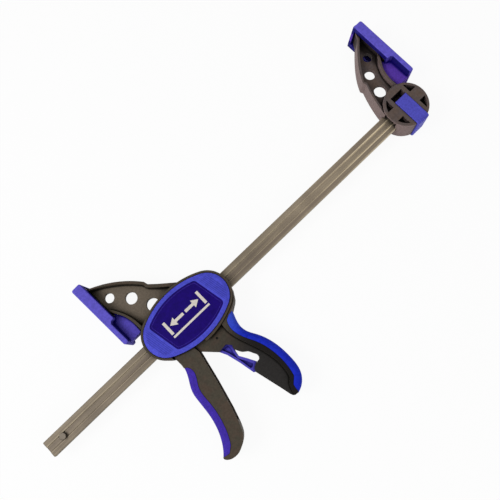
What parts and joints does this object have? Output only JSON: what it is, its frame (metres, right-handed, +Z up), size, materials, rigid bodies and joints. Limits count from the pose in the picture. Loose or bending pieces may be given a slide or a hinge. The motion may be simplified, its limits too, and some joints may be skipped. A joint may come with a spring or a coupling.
{
  "type": "quick release bar clamp",
  "caption": "One-handed quick release bar clamp on a flat steel bar, set as a spreader, with pistol grip, trigger and release lever.",
  "frame": {"origin": "middle of the footprint of the clamp lying flat on its side, on the ground plane", "axes": "+X along the bar towards the fixed jaw, +Y towards the jaw tips, +Z up, square to the flat sides"},
  "size_m": [0.4936, 0.2118, 0.035],
  "materials": {
    "bar_steel": "rolled flat bar, dark oxide with brighter streaks along the flute",
    "pin_steel": "turned steel pin",
    "plate_steel": "punched hardened steel plate",
    "spring_steel": "drawn spring wire",
    "nylon": "glass filled nylon with a fine moulded grain",
    "blue_cover": "satin moulded plastic",
    "label": "printed label plate with a plain border line",
    "blue_pad": "soft moulded plastic pad",
    "blue_grip": "soft overmoulded rubber",
    "blue_lever": "moulded plastic",
    "blue_button": "moulded plastic"
  },
  "bodies": {
    "bar_and_fixed_jaw": {"bar": "bar_steel", "front_stop_pin": "pin_steel", "rear_stop_pin": "pin_steel", "fixed_jaw": "nylon", "fixed_jaw_pad": "blue_pad", "jaw_lock_spring": "spring_steel"},
    "lock_button": {"jaw_lock_button": "blue_button"},
    "moving_jaw": {"body_frame": "nylon", "moving_jaw_pad": "blue_pad", "upper_cover": "blue_cover", "lower_cover": "blue_cover", "upper_label_plate": "label", "lower_label_plate": "label", "handle_grip": "blue_grip", "trigger_pivot_pin": "pin_steel", "release_pivot_pin": "pin_steel", "drive_spring": "spring_steel", "brake_spring": "spring_steel"},
    "trigger": {"trigger": "nylon", "trigger_grip": "blue_grip"},
    "release_lever": {"release_lever": "blue_lever"},
    "drive_plates": {"drive_plate_front": "plate_steel", "drive_plate_rear": "plate_steel"},
    "brake_plate": {"brake_plate": "plate_steel"}
  },
  "joints": [
    {"name": "jaw_slide", "type": "slide", "parent": "bar_and_fixed_jaw", "child": "moving_jaw", "axis": [1, 0, 0], "range_m": [-0.1039, 0.2177]},
    {"name": "trigger_squeeze", "type": "hinge", "parent": "moving_jaw", "child": "trigger", "pos_m": [-0.09885, 0.02775, 0.0175], "axis": [0, 0, 1], "range_deg": [0, 18], "stiffness_Nm_per_rad": 0.8, "springref_deg": -14.32},
    {"name": "release_pull", "type": "hinge", "parent": "moving_jaw", "child": "release_lever", "pos_m": [-0.06685, -0.01875, 0.0175], "axis": [0, 0, 1], "range_deg": [0, 8], "stiffness_Nm_per_rad": 0.25, "springref_deg": -5.73},
    {"name": "drive_plate_slide", "type": "slide", "parent": "moving_jaw", "child": "drive_plates", "axis": [1, 0, 0], "range_m": [0, 0.00864], "deforming": ["drive_spring"]},
    {"name": "brake_plate_rock", "type": "hinge", "parent": "moving_jaw", "child": "brake_plate", "pos_m": [-0.06026, 0.03375, 0.0175], "axis": [0, 0, 1], "range_deg": [-2.75, 0], "deforming": ["brake_spring"]},
    {"name": "lock_button_press", "type": "slide", "parent": "bar_and_fixed_jaw", "child": "lock_button", "axis": [0, 1, 0], "range_m": [0, 0.0054], "stiffness_N_per_m": 600, "springref_m": -0.003, "deforming": ["jaw_lock_spring"]}
  ],
  "couplings": [
    {"joint": "drive_plate_slide", "follows": "trigger_squeeze", "m_per_rad": 0.02747},
    {"joint": "brake_plate_rock", "follows": "release_pull", "ratio": -0.34}
  ]
}
